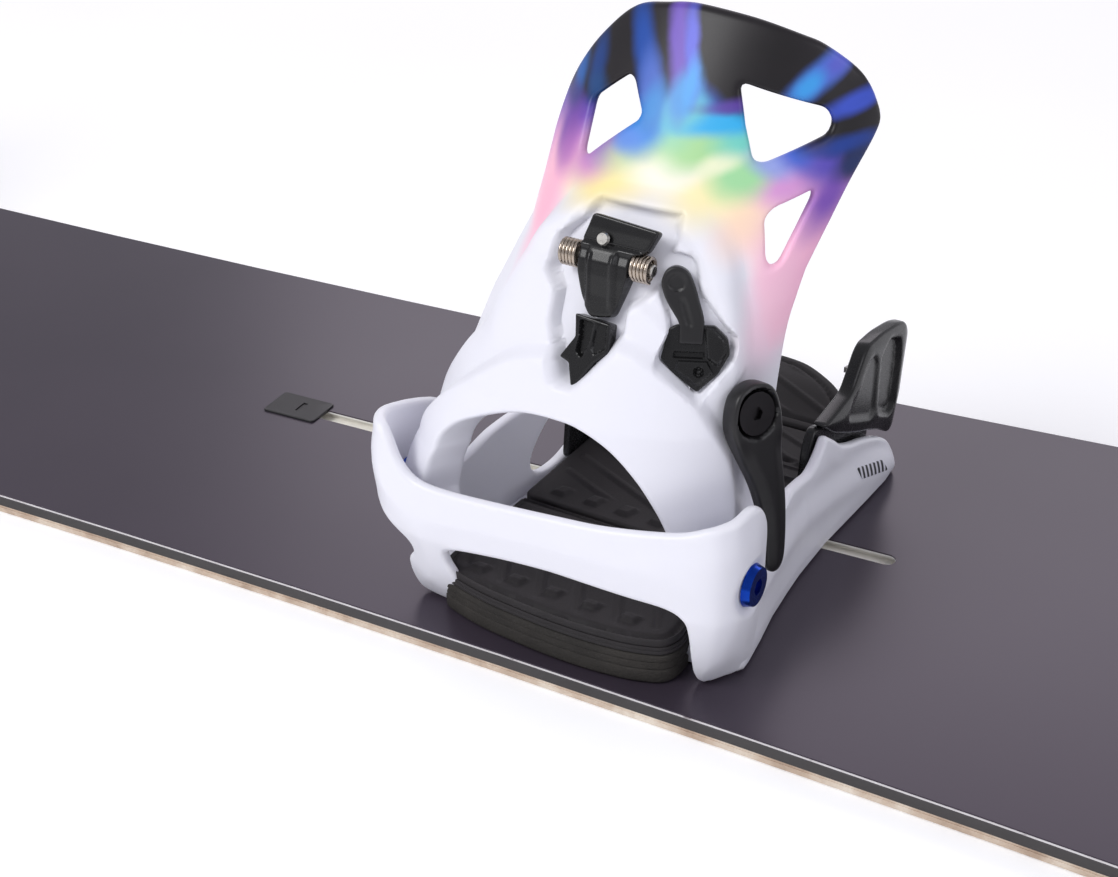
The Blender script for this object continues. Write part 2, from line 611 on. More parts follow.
# ------------------------------------------------------------------ highback
ROWS = np.array([  # z, xc, y0, half width left, half width right, depth, squareness right, twist, squareness left
    (30, -2, -106, 69, 61, 72, 3.2, 0, 8), (50, -2, -107.5, 69, 61.6, 75, 3.1, 0, 8), (60, -2, -108, 67.5, 62, 76, 3.1, 0, 6.5),
    (70, -2, -107.3, 65.5, 63, 77, 3.0, 0, 5.2), (80, -1.8, -106.6, 67, 64, 77.3, 2.95, 0.3, 4.2), (90, -1.4, -105.8, 68, 65, 77.8, 2.85, 0.7, 3.4),
    (100, -1, -105, 67, 66, 78, 2.8, 1, 3.0), (120, 1.2, -98, 66, 66.5, 76, 2.6, 2, 2.6),
    (140, 3.2, -90, 61, 67, 73, 2.4, 2.7, 2.4), (150, 4, -86, 58, 67, 72, 2.3, 3, 2.3), (165, 5.4, -77, 61, 68, 72, 2.2, 4, 2.2),
    (180, 6.5, -68, 64, 69, 72, 2.15, 5, 2.15), (200, 8, -56, 67.5, 70, 72, 2.05, 6, 2.05), (245, 11, -28, 76, 78, 80, 2.0, 7, 2.0)], float)
US = 1.25  # domain millimetres per degree


def hb_map(u, v, w):
    phi = np.radians(np.asarray(u) / US)
    z = np.asarray(v, float)
    c = [np.interp(z, ROWS[:, 0], ROWS[:, i]) for i in range(1, 9)]
    xc, y0, aL, aR, b, p, yaw, pL = c
    k = smooth((phi + 0.35) / 0.7)
    a = aL * (1 - k) + aR * k
    p = pL * (1 - k) + p * k
    a, b, y0 = a + w, b + w, y0 - w
    s, co = np.sin(phi), np.cos(phi)
    x = a * np.sign(s) * np.abs(s) ** (2 / p)
    y = b * (1 - np.abs(co) ** (2 / p)) - 35 - w
    yr = np.radians(yaw)
    return np.stack([xc + x * np.cos(yr) + y * np.sin(yr), y0 + w + 35 - x * np.sin(yr) + y * np.cos(yr), z], 1)


def D(L):
    return [(a * US, b) for a, b in L]


HB_OUT = D([(79.7, 32), (79.8, 45), (79.9, 60), (78.3, 85), (72.5, 108), (68.5, 128.2), (68.2, 141.2), (69.8, 157.4), (72.7, 176.9),
            (76.1, 191.2), (75.8, 198.1), (70.8, 204.3), (59.3, 215.4), (45.1, 224.9), (36.7, 228.8), (21.3, 233.7),
            (4.7, 235.8), (-5.7, 234.3), (-17.6, 230.5), (-29.3, 219.6), (-40.8, 206.7), (-47.0, 198.7), (-51.5, 190),
            (-56, 180), (-63, 165), (-69, 150), (-72, 128), (-74, 108), (-77, 85), (-79, 60), (-79, 45), (-79, 32)])
HB_ARCH = D([(-18, 32), (-18, 46), (-20, 56), (-23.6, 64.5), (-24.7, 73), (-21.7, 81), (-15.2, 88.5), (-6.3, 96.2), (0, 98.6), (4.7, 96.9),
             (12.2, 91), (19.4, 82), (25.5, 72), (30.8, 62), (34.5, 52), (36, 42), (36.4, 32)])
hb_outer = np.vstack([catmull(np.array(HB_OUT), 6, False), catmull(np.array(HB_ARCH), 6, False)])
HB_W1 = round_poly(D([(-25.5, 198.5), (-11.5, 210), (-8.8, 209), (-2.4, 199.5), (-3.0, 197), (-19.0, 181.2), (-22.5, 181.2)]), 2.6)
HB_W2 = round_poly(D([(23.4, 213.8), (53.0, 205.0), (57.5, 200.0), (57.6, 196.0), (39.2, 188.0), (35.5, 189.0)]), 4.0)
HB_W3 = round_poly(D([(45.0, 170.2), (46.8, 173.4), (58.6, 178.0), (59.8, 175.0), (56.6, 153.9), (53.4, 153.6), (50.4, 156.6)]), 3.2)
RZ = catmull(np.array(D([(-6, 177), (6, 178.5), (18, 178), (31, 172.5), (41, 160), (47.5, 145), (53, 130), (57, 112), (61, 94),
                         (68, 70), (74, 40), (74, 22), (-78, 22), (-76, 60), (-68, 84), (-56, 100), (-47, 112), (-40, 120), (-37, 130),
                         (-35, 142), (-31.5, 154), (-27, 163), (-19, 170.5), (-12, 175)])), 5)
AB = catmull(np.array(D([(8.5, 131.5), (13.7, 131), (19, 128.8), (29, 122), (35.9, 116), (43.2, 107.2), (52.8, 93.7), (58, 80), (62, 60),
                         (64, 24), (-68, 24), (-64, 60), (-54, 76), (-42, 88), (-34.7, 96), (-24.9, 106.5), (-15.1, 117.5), (-6, 122.5),
                         (0, 123.5), (4, 124)])), 5)
LP = round_poly(D([(-6.8, 173.4), (20.5, 173.4), (20.0, 160), (17.8, 146.5), (10.4, 140), (10.6, 131), (5.8, 121), (1.2, 110.5),
                   (-0.8, 110.5), (-2.2, 116), (-3.6, 121), (-7.2, 129), (-9.0, 140), (-15.2, 146), (-15.6, 158), (-9.2, 165)]), 2.0)
AP = round_poly(D([(15, 157), (19.5, 160.5), (26.5, 159), (32, 147), (39, 139), (46.5, 131.5), (47, 125), (37.6, 110.5),
                   (20.5, 124), (23.5, 135), (17.8, 148)]), 3.0)
LV = round_poly(D([(49, 118), (72, 126), (90, 120), (90, 60), (64, 60), (52, 92)]), 10)
RIDGE = catmull(np.array(D([(-13, 168), (-3, 171.0), (15, 170.5), (26, 164), (34, 153), (40.5, 140), (45, 126), (47, 113),
                            (30, 124), (22, 134), (8, 142), (-12, 142)])), 5)


def bev(x):
    """Ramp with a nearly straight flank: a bevel with small radii."""
    x = np.clip(x, 0, 1)
    return x + 0.07 * np.sin(2 * math.pi * x) * -1


def hb_h(V):
    u, z = V[:, 0] / US, V[:, 1]
    rise = 4.6 + 3.4 * np.exp(-((u + 25) / 10.0) ** 2) * smooth((z - 110) / 20)
    h = rise * bev(sdf(V, [RZ]) / 9.0 + 0.05)
    h += 4.6 * bev(sdf(V, [AB]) / 5.0)
    h -= 2.0 * bev(sdf(V, [RIDGE]) / 5.0) * smooth((z - 118) / 14)
    k = smooth(sdf(V, [LV]) / 5.0 + 0.3)
    h = h * (1 - k) + np.minimum(h, 0.4) * k
    wide = 1.4 + 3.0 * smooth((z - 164) / 5)
    k = bev(sdf(V, [LP]) / wide + 0.15)
    h = h * (1 - k) + (-0.7) * k
    k = bev(sdf(V, [AP]) / 1.6 + 0.35)
    h = h * (1 - k) + (-0.5) * k
    return h


hb_geo = slab([hb_outer, HB_W1, HB_W2, HB_W3], -4.0, hb_h, 1.9, hb_map, 1.5, 1.2,
              ((RZ, (-0.4, 0.6, 8.2, 9.2)), (AB, (-0.4, 0.5, 4.6, 5.5)), (RIDGE, (-0.3, 0.5, 4.6, 5.4)), (LP, (-0.5, 0.3, 1.2, 2.0)),
               (AP, (-0.8, 0.0, 1.0))))
pair("highback", hb_geo, M["fade"], "highback_unit", "highback", 60)

# ------------------------------------------------------------------ heel hoop with its feet
U = catmull(np.array([(76.6, -88), (77, -102), (74.5, -114.5), (63, -122.5), (30, -125.6), (0, -126), (-40, -125.6), (-66, -124),
                      (-79, -119.5), (-84.6, -109), (-85.4, -95), (-84.5, -82), (-83, -70)], float), 12, False)
US_ = np.concatenate([[0], np.cumsum(np.linalg.norm(np.diff(U, axis=0), axis=1))])


def u_map(s, z, w):
    s = np.clip(np.asarray(s, float), 0, US_[-1])
    z = np.asarray(z, float)
    P = np.stack([np.interp(s, US_, U[:, 0]), np.interp(s, US_, U[:, 1])], 1)
    e = 1.5
    A = np.stack([np.interp(np.clip(s - e, 0, US_[-1]), US_, U[:, 0]), np.interp(np.clip(s - e, 0, US_[-1]), US_, U[:, 1])], 1)
    Bq = np.stack([np.interp(np.clip(s + e, 0, US_[-1]), US_, U[:, 0]), np.interp(np.clip(s + e, 0, US_[-1]), US_, U[:, 1])], 1)
    T = Bq - A
    T /= np.linalg.norm(T, axis=1, keepdims=True)
    Nn = np.stack([-T[:, 1], T[:, 0]], 1)        # s runs from the outer side round the heel: outward is +y x ...
    Nn *= -np.sign((Nn * (P - np.array([0.0, -60.0]))).sum(1))[:, None] * -1
    tap = 12.0 * np.clip((37 - z) / 37, 0, 1) ** 1.25
    tap = tap * (0.35 + 0.65 * smooth(s / 26.0))
    q = P + Nn * (w - tap)[:, None]
    return np.column_stack([q, z])


HOOP = [(0, 8), (0, 30), (0, 60), (3, 71), (11, 78.0), (22, 78.2), (36, 76.2), (50, 71.6), (76, 66.6), (99.5, 64), (128.7, 61.2),
        (150, 59.6), (163, 60.5), (171, 66), (177, 75.5), (184, 79.6), (200, 78.4), (US_[-1] - 1, 66), (US_[-1] - 1, 52),
        (205, 49.5), (190, 45), (181, 38.5), (174, 34), (168.5, 30), (167.5, 25), (172, 19), (173.5, 10), (171, 2.5), (163, 0.5), (154, 0.6),
        (148, 5), (147, 16), (150, 27), (147, 33.0), (129, 36.9), (105, 39.3), (88, 39.6), (68.8, 39.1), (52, 38.6),
        (45.0, 35.0), (43.2, 27), (42.8, 14), (41.8, 5), (37, 0.9), (20, 0.4), (5, 0.4)]


def hoop_h(V):
    d = sdf(V, [hoop_loop])
    h = 1.6 * smooth(d / 16.0)
    k = smooth((12.5 - np.hypot(V[:, 0] - 14.2, V[:, 1] - 46)) / 3.5)
    return h * (1 - k) - 0.35 * k


hoop_loop = catmull(np.array(HOOP, float), 5)
hoop_loop[:, 0] = np.clip(hoop_loop[:, 0], 0, US_[-1])
hoop_geo = slab([hoop_loop], -5.0, hoop_h, 2.3, u_map, 1.6, 1.3)
pair("heel_hoop", hoop_geo, M["white"], "board", "heel_hoop", 60)

# ------------------------------------------------------------------ baseplate: two sculpted walls and a floor
LATY = np.array([-98, -90, -75, -58, -40, -25, 2, 42, 64, 80], float)
LATB = np.array([73.0, 72.6, 70.5, 67.6, 65.8, 64.6, 64.0, 65.6, 66.2, 65.0])     # outer face at the board
LATT = np.array([71.2, 71.4, 70.6, 68.6, 65.6, 64.2, 63.6, 63.6, 63.8, 63.4])     # outer face at the top


def wall_map(sgn):
    def f(y, z, w):
        k = smooth(np.asarray(z) / 34.0)
        x = np.interp(y, LATY, LATB) * (1 - k) + np.interp(y, LATY, LATT) * k
        return np.stack([sgn * (x + w), np.asarray(y, float), np.asarray(z, float)], 1)
    return f


WALL = [(-97, 0.3), (-97, 40), (-90, 43.5), (-74, 44), (-60, 49), (-42, 51.5), (-30, 49), (-18, 46.2), (-9, 50.5), (-3, 56.5),
        (2, 53), (7, 49.6), (14, 44), (26, 38.5), (44, 32.6), (60, 25.5), (69, 19.5), (74, 13), (79, 4), (77, 0.3)]
wall_loop = round_poly(WALL, [1, 3, 6, 10, 8, 8, 6, 5, 4, 2, 3, 4, 6, 8, 8, 6, 4, 4, 2, 1])
tear = catmull(np.array([(-33, 24), (-27, 14), (-8, 12), (14, 19), (35, 29), (10, 37), (-18, 38)], float), 8)


def wall_h(V):
    d = sdf(V, [wall_loop])
    y, z = V[:, 0], V[:, 1]
    h = 0.9 * smooth(d / 9.0)
    # raised sweep from the heel foot to the toe, with a soft valley above it
    zc = np.interp(y, [-97, -60, -20, 20, 60, 80], [30, 31, 27, 20, 11, 7])
    h += 1.3 * np.exp(-((z - zc) / 6.0) ** 2) * smooth(d / 5.0)
    h -= 0.9 * np.exp(-((z - zc - 12) / 5.0) ** 2) * smooth(d / 5.0)
    return h


latw = slab([wall_loop], -4.8, wall_h, 2.0, wall_map(1), 1.7, 1.4)
medw = slab([wall_loop, tear], -4.8, wall_h, 2.0, wall_map(-1), 1.7, 1.4)
lvl = lambda x, y, w: np.stack([np.asarray(x, float), np.asarray(y, float), np.asarray(w, float)], 1)
floor_loop = round_poly([(-61, 76), (-63, 60), (-62, -20), (-64, -50), (-69, -75), (-70, -98), (-52, -101), (52, -101), (70, -98),
                         (69, -75), (64, -50), (62, -20), (63, 60), (61, 76)], 4)
th = np.linspace(0, 2 * math.pi, 73)[:-1]
seat = np.stack([48.2 * np.cos(th), 48.2 * np.sin(th)], 1)
floor_geo = slab([floor_loop, seat], 0.3, 8.0, 1.0, lvl, 4.0, 3.0)
pair("baseplate", merge(latw, medw, floor_geo), M["white"], "board", "baseplate", 60)

# ------------------------------------------------------------------ toe hooks
FIN = [(-2, 59.8), (8, 52.0), (26, 43.5), (45, 35.8), (60, 29), (70.5, 22.5), (74.5, 24.5), (80, 40), (86, 54), (90.5, 64), (88.5, 69.5),
       (78.5, 73), (60, 76), (46, 76.6), (41, 74.5), (33, 68), (26, 62.5), (12, 61)]
fin_loop = round_poly(FIN, [2, 5, 6, 6, 4, 2, 2, 6, 6, 3, 3, 5, 5, 3, 3, 5, 4, 4])
fin_rec = round_poly([(52, 41), (66, 34), (71, 36), (79, 56), (80, 66), (70, 70), (58, 66)], 4)
fin_rec2 = round_poly([(20, 52), (44, 42), (48, 44), (54, 66), (50, 71), (42, 69), (34, 62), (24, 58)], 4)


def fin_h(V):
    h = 0.9 * smooth(sdf(V, [fin_loop]) / 6)
    h = h - 2.3 * smooth(sdf(V, [fin_rec]) / 2.2 + 0.3)
    return h - 1.0 * smooth(sdf(V, [fin_rec2]) / 3.0 + 0.3)


def fin_map(sgn):
    def f(y, z, w):
        x = 60.2 - 0.10 * np.clip(np.asarray(z) - 40, 0, 60)
        return np.stack([sgn * (x + w), np.asarray(y, float), np.asarray(z, float)], 1)
    return f


TABL = round_poly([(-12, 14), (50, 14), (56, 20), (58.5, 30), (46, 38), (8, 55), (-3, 58.5), (-8, 50)], 4)


def tab_map(sgn):
    return lambda y, z, w: np.stack([sgn * (55.8 + np.asarray(w)), np.asarray(y, float), np.asarray(z, float)], 1)


parts = []
for sg in (1, -1):
    parts.append(slab([fin_loop], -3.0, lambda V: 3.2 + fin_h(V), 1.6, fin_map(sg), 1.6, 1.3))
    parts.append(slab([TABL], -2.2, 2.2, 1.2, tab_map(sg), 3.0, 2.0))
pair("toe_hooks", merge(*parts), M["blackgloss"], "board", "toe_hooks", 60)

# ------------------------------------------------------------------ pads
HEELP = [(-51, -56), (-51.5, -95), (-53.5, -110), (-50, -118), (-30, -123.5), (0, -126), (20, -125.8), (38, -123.5),
         (51, -118.5), (54, -110), (51.5, -95), (51, -56)]
heel_loop = round_poly(HEELP, [2, 4, 6, 6, 10, 10, 10, 10, 6, 6, 4, 2])


def inset(loop, k):
    c = loop.mean(0)
    T = np.roll(loop, -1, 0) - np.roll(loop, 1, 0)
    T /= np.linalg.norm(T, axis=1, keepdims=True)
    Nn = np.stack([-T[:, 1], T[:, 0]], 1)
    Nn *= np.sign((Nn * (c - loop)).sum(1))[:, None]
    return loop + Nn * k


def heel_top(V):
    x, y = V[:, 0], V[:, 1]
    d = sdf(V, [heel_loop])
    h = np.full(len(V), 20.6)
    h -= 1.5 * smooth((4.6 - d) / 2.0) * smooth((d - 1.2) / 1.2)           # groove just inside the rim
    h -= 0.8 * smooth((2.0 - np.abs(((x * 0.9 + y * 0.42) % 15.5) - 7.7)) / 1.2) * smooth((d - 7) / 2)
    for i in range(5):
        cx = -36 + 17 * i
        q = np.maximum(np.abs(x - cx - 0.25 * (y + 112)) - 2.6, np.abs(y + 112) - 1.6)
        h += 1.7 * smooth((1.6 - q) / 1.8)
    return h


pair("heel_pad", merge(slab([inset(heel_loop, 0.2)], 13.75, 15.5, 0.55, lvl, 3.0, 1.3),
                       slab([inset(heel_loop, 0.45)], 15.2, 17.0, 0.55, lvl, 3.0, 1.3),
                       slab([inset(heel_loop, 0.9)], 16.7, heel_top, 1.1, lvl, 1.2, 1.2)), M["rubber"], "board", "heel_pad", 60)


def foam_geo():
    """Foam block in lips with grooves between them, from stacked outlines."""
    a = slab([heel_loop], lambda V: np.where(V[:, 1] < -102.2, 10.2, 10.2), 13.5, 0.9, lvl, 2.8, 1.4)
    b = slab([inset(heel_loop, 0.35)], lambda V: np.where(V[:, 1] < -102.2, 6.6, 8.3), 10.5, 0.8, lvl, 2.8, 1.4)
    rear = heel_loop[heel_loop[:, 1] < -103.0]
    rear = np.vstack([[(rear[0, 0], -102.6)], rear, [(rear[-1, 0], -102.6)]])
    c = slab([inset(rear, 0.3)], 0.45, 6.9, 1.2, lvl, 2.4, 1.4)
    return merge(a, b, c)


pair("heel_foam", foam_geo(), M["foam"], "board", "heel_foam", 60)


def foot_top(V):
    x, y = V[:, 0], V[:, 1]
    h = np.full(len(V), 19.7)
    q = (y + 0.46 * x + 203) % 13.5
    rib = smooth((2.1 - np.abs(q - 6.7)) / 0.9) * smooth((47 - np.abs(x)) / 2) * smooth((y + 40) / 3)
    h += 1.0 * rib
    for i in range(6):
        cx = -38 + 15.5 * i
        b = np.maximum(np.abs(x - cx - 0.3 * (y + 44)) - 2.4, np.abs(y + 44) - 2.6)
        h += 1.6 * smooth((1.2 - b) / 1.4)
    h -= 0.9 * smooth((1.2 - np.abs(y - 27 - 0.06 * x)) / 0.8)
    b = np.maximum(np.abs(x - 36) - 8.5, np.abs(y - 19) - 5)
    h += 0.7 * smooth((0.9 - np.abs(b)) / 0.8)
    return h


foot_loop = round_poly([(-52, -53.6), (52, -53.6), (52.5, 10), (52, 57.6), (-52, 57.6), (-52.5, 10)], 4)
pair("footbed", slab([foot_loop], 8.3, foot_top, 1.3, lvl, 1.15, 1.6), M["rubber"], "board", "footbed", 60)

RAMP = [(-53, 59.2), (53, 59.2), (52, 66), (46, 75), (40, 80), (27, 93), (16, 101), (7, 106), (-6, 108), (-22, 106), (-36, 98),
        (-47, 84), (-52, 68)]
ramp_loop = round_poly(RAMP, [2, 2, 4, 6, 6, 8, 6, 8, 8, 8, 8, 8, 6])


def ramp_top(V):
    x, y = V[:, 0], V[:, 1]
    d = sdf(V, [ramp_loop])
    h = 20.2 + 7.0 * smooth((y - 59) / 34.0)
    h -= 1.2 * smooth((1.2 - np.abs(d - 5.4)) / 0.8)
    q = (y + 0.46 * x + 203) % 13.5
    return h + 0.9 * smooth((1.7 - np.abs(q - 6.7)) / 0.8) * smooth((d - 7.4) / 1.2)


pair("toe_ramp", slab([ramp_loop], lambda V: np.where(V[:, 1] > 80.2, 2.0, 8.4), ramp_top, 1.6, lvl, 1.2, 1.4), M["rubber"],
     "board", "toe_ramp", 60)


# ------------------------------------------------------------------ parts on tilted planes
def plane_map(p, n):
    n = np.array(n, float)
    n /= np.linalg.norm(n)
    up = np.array([0, 0, 1.0])
    up = up - n * up.dot(n)
    up /= np.linalg.norm(up)
    x = np.cross(up, n)
    p = np.array(p, float)

    def f(u, v, w):
        u, v, w = (np.asarray(q, float)[:, None] * np.ones((1, 3)) for q in (u, v, w))
        return p + u * x + v * up + w * n
    return f


LEAN = math.radians(23.4)
latch_map = plane_map((4.0, -84.0, 152.0), (0, -math.cos(LEAN), math.sin(LEAN)))
lever_map = plane_map((60.0, -81.2, 105.6), (0.900, -0.400, 0.174))
lean_map = plane_map((38.0, -84.0, 130.0), (0.40, -0.86, 0.31))

# release lever: thick head, blade with a rounded back that thins to the tip
LEV = catmull(np.array([(-11.5, -1), (-8.2, 8.2), (0, 11.6), (8.2, 8.2), (11.4, -1), (11.5, -14), (12.3, -28), (12.7, -40), (12.1, -54),
                        (11.0, -62.5), (8.3, -66.6), (4.8, -66.6), (2.3, -62.5), (1.6, -52), (0.8, -41), (-2.2, -29), (-7.2, -17),
                        (-10.8, -8)], float), 6)


def lev_h(V):
    x, y = V[:, 0], V[:, 1]
    h = np.interp(y, [-68, -50, -25, -10, 12], [6.4, 7.6, 8.6, 9.0, 9.0])
    d = sdf(V, [LEV])
    h -= 1.3 * (1 - smooth(d / 5.5)) * smooth((-8 - y) / 10)
    k = smooth((9.6 - np.hypot(x, y)) / 0.9)
    return h * (1 - k) + 5.1 * k


lev_hole = np.stack([2.62 * np.cos(th), 2.62 * np.sin(th)], 1)
pair("release_lever", slab([LEV, lev_hole[::2]], 1.4, lev_h, 1.5, lever_map, 1.0, 0.9), M["black"], "release_lever_unit", "release_lever",
     60)

# latch rocker: cover plate flowing into the nose
ROCK = round_poly([(-8, 6.4), (-5.4, 17), (22, 15.2), (18.6, 6.6), (13.0, 4.5), (12.6, -4), (11.2, -10), (8.9, -18.7), (0.1, -20.4), (-4.9, -13.7),
                   (-7.8, -4)], [3, 1.6, 1.6, 2, 2, 3, 3, 2, 2, 3, 3])


def rock_h(V):
    x, y = V[:, 0], V[:, 1]
    h = np.interp(y, [-21, -12, -5, 0, 4, 7, 12, 17], [5.2, 7.0, 9.0, 10.0, 9.4, 8.0, 7.9, 8.3])
    side = smooth((np.abs(x - 2.2 + 0.06 * y) - 5.4) / 1.0) * smooth((5.5 - y) / 2)
    h -= 1.3 * side
    h += 0.7 * smooth((1.0 - np.abs(np.abs(x - 2.2 + 0.06 * y) - 4.6)) / 0.8) * smooth((4 - y) / 2) * smooth((y + 17) / 4)
    h -= 0.5 * smooth((0.8 - np.abs(y - 6.6)) / 0.5)
    return h


def rock_l(V):
    return np.where(V[:, 1] > 5.5, 3.6, 0.0 + 0 * V[:, 1])


pair("latch_rocker", slab([ROCK], rock_l, rock_h, 0.9, latch_map, 0.6, 0.6), M["blackgloss"], "latch_rocker_unit", "latch_rocker",
     50)

# lean lever: round head, slim waist
LEANL = round_poly([(-3.0, -1.6), (-3.0, 5.8), (-8.4, 14), (-10.6, 20.5), (-8.6, 25.2), (-5, 26.8), (-0.6, 25.0), (1.8, 20), (6.0, 7), (5.8, -1.6)],
                   [1, 2, 3, 3, 3, 3, 3, 3, 3, 1])


def leanl_h(V):
    x, y = V[:, 0], V[:, 1]
    h = np.interp(y, [0, 8, 16, 27], [5.9, 6.0, 6.4, 7.4])
    k = smooth((3.4 - np.hypot(x + 4.6, y - 20.6)) / 0.7)
    m = smooth((1.4 - np.abs(np.interp(y, [2, 17], [1.6, -3.0]) - x)) / 0.7) * smooth((16 - y) / 3) * smooth((y - 4) / 2)
    return h - 0.9 * k - 0.7 * m


pair("lean_lever", slab([LEANL], 0.7, leanl_h, 0.9, lean_map, 0.7, 0.6), M["black"], "lean_lever_unit", "lean_lever", 50)

# plain plate with bars on the outer wall, and a light bar on the latch cover
def badge_mat():
    m, nt, p = mat_new("badge_bars")
    at = nt.nodes.new("ShaderNodeAttribute")
    at.attribute_name = "dom"
    sep = nt.nodes.new("ShaderNodeSeparateXYZ")
    nt.links.new(at.outputs["Vector"], sep.inputs[0])
    w = math_n(nt, "FRACT", math_n(nt, "MULTIPLY", sep.outputs[0], 1 / 3.9))
    bar = ramp(nt, w, [(0.0, (0, 0, 0)), (0.30, (0, 0, 0)), (0.36, (1, 1, 1)), (0.78, (1, 1, 1)), (0.84, (0, 0, 0))])
    g = noise(nt, 900, 2)
    nt.links.new(mixc(nt, bar, ramp(nt, g, [(0.3, rgb(30, 30, 34)), (0.7, rgb(40, 40, 45))]), rgb(214, 214, 224)), p.inputs["Base Color"])
    nt.links.new(math_n(nt, "MULTIPLY_ADD", g, 0.1, 0.4), p.inputs["Roughness"])
    bump(nt, p, g, 0.05, 0.0001)
    return m


M["badge"] = badge_mat()
badge_loop = round_poly([(30.5, 24.8), (56, 16.6), (60.5, 9.6), (33, 18.6)], 0.8)
pair("wall_plate", slab([badge_loop], 0.2, lambda V: wall_h(V) + 0.45, 0.12, wall_map(1), 1.4, 1.0), M["badge"], "board", None, 60)

# torsion springs and axle of the latch
def tube(P, r, n=12, caps=True):
    P = np.asarray(P, float)
    T = np.gradient(P, axis=0)
    T /= np.linalg.norm(T, axis=1, keepdims=True)
    ref = np.array([1.0, 0.0, 0.0])
    V, F = [], []
    for i, (p0, t0) in enumerate(zip(P, T)):
        a0 = np.cross(t0, ref if abs(t0.dot(ref)) < 0.95 else np.array([0, 1.0, 0]))
        a0 /= np.linalg.norm(a0)
        b0 = np.cross(t0, a0)
        for k in range(n):
            q = 2 * math.pi * k / n
            V.append(p0 + r * (math.cos(q) * a0 + math.sin(q) * b0))
    for i in range(len(P) - 1):
        for k in range(n):
            F.append((i * n + k, i * n + (k + 1) % n, (i + 1) * n + (k + 1) % n, (i + 1) * n + k))
    if caps:
        F.append(tuple(range(n))[::-1])
        F.append(tuple((len(P) - 1) * n + k for k in range(n)))
    V = np.array(V)
    return V, F, np.zeros((len(V), 3))


def coil(u0, u1, turns, R, v0, w0, tail):
    q = np.linspace(0, 2 * math.pi * turns, int(28 * turns))
    L = np.stack([u0 + (u1 - u0) * q / q[-1], v0 + R * np.cos(q), w0 + R * np.sin(q)], 1)
    return L


def local(L):
    return latch_map(L[:, 0], L[:, 1], L[:, 2])


spr = merge(tube(local(coil(-15.6, -9.2, 4.5, 4.5, 1.0, 4.4, 6)), 0.72), tube(local(coil(13.8, 20.4, 4.5, 4.5, 1.0, 4.4, 6)), 0.72))
pair("latch_springs", spr, M["spring"], "highback_unit", "latch_springs", 60)


def turned(profile, n=28):
    V, F = [], []
    for u0, r0 in profile:
        for k in range(n):
            q = 2 * math.pi * k / n
            V.append((u0, 1.0 + r0 * math.cos(q), 4.4 + r0 * math.sin(q)))
    m = len(profile)
    for i in range(m - 1):
        for k in range(n):
            F.append((i * n + k, i * n + (k + 1) % n, (i + 1) * n + (k + 1) % n, (i + 1) * n + k))
    F.append(tuple(range(n))[::-1])
    F.append(tuple((m - 1) * n + k for k in range(n)))
    V = local(np.array(V))
    return V, F, np.zeros((len(V), 3))


pair("latch_axle", turned([(-16.9, 1.9), (-16.6, 2.4), (-16.2, 2.5), (-9, 2.5), (14, 2.5), (20.8, 2.5), (21.3, 2.4), (21.6, 1.9)]),
     M["steel"], "highback_unit", "latch_axle", 30)

PAWL = round_poly([(-5.2, -20.2), (9.4, -21.2), (10.6, -31.5), (5.6, -36.5), (-1.6, -48.5), (-4.6, -38.4), (-8.6, -37.2), (-3.6, -28.5)], 0.7)
PAWL_IN = round_poly([(-2.6, -22), (2.6, -22), (2.2, -30), (0.2, -35.5), (-2.2, -33.4), (-1.8, -28.5)], 0.7)
PAWL_IN2 = round_poly([(4.0, -22), (8.2, -22), (9.0, -30.6), (5.0, -33.4), (3.8, -31)], 0.6)


def pawl_h(V):
    h = np.interp(V[:, 1], [-48, -36, -21], [4.2, 5.4, 6.2])
    h -= 2.4 * smooth(sdf(V, [PAWL_IN]) / 0.6 + 0.5)
    return h - 1.1 * smooth(sdf(V, [PAWL_IN2]) / 0.6 + 0.5)


pair("latch_pawl", slab([PAWL], -0.5, pawl_h, 0.6, latch_map, 0.55, 0.5), M["blackgloss"], "latch_pawl_unit", "latch_pawl", 40)

LBK = round_poly([(9.8, 5.3), (14.6, 0.8), (15.6, -4.6), (11.6, -12.2), (4.3, -19.2), (-5.1, -12.2), (-9.4, -7.5), (-7, 3.6), (-4, 5.3)], 0.9)
LBK_A = round_poly([(6.4, 4.4), (9.6, 4.2), (13.6, 0.4), (14.4, -4.4), (11.4, -9.0), (7.4, -6.4)], 0.6)
LBK_B = round_poly([(-3.4, -7.6), (7.4, -7.6), (9.8, -11.6), (4.2, -16.6), (-3.6, -11.4)], 0.7)
LBK_C = round_poly([(-4.6, -4.6), (6.2, -4.6), (6.2, -6.6), (-4.6, -6.6)], 0.4)


def lbk_h(V):
    x, y = V[:, 0], V[:, 1]
    h = np.full(len(V), 5.0)
    h += (1.6 - 0.16 * np.abs(x - 10.5)) * smooth(sdf(V, [LBK_A]) / 0.8 + 0.4)
    h += 0.9 * smooth(sdf(V, [LBK_B]) / 0.6 + 0.5)
    h -= 1.3 * smooth(sdf(V, [LBK_C]) / 0.5 + 0.5)
    h -= 1.3 * smooth((1.9 - np.hypot(x - 4.6, y + 11.6)) / 0.5)
    h += 0.9 * smooth((1.2 - np.hypot(x - 4.6, y + 11.6)) / 0.4)
    return h


pair("lean_block", slab([LBK], -0.25, lbk_h, 0.7, lean_map, 0.6, 0.6), M["blackgloss"], "lean_block_unit", "lean_block", 40)

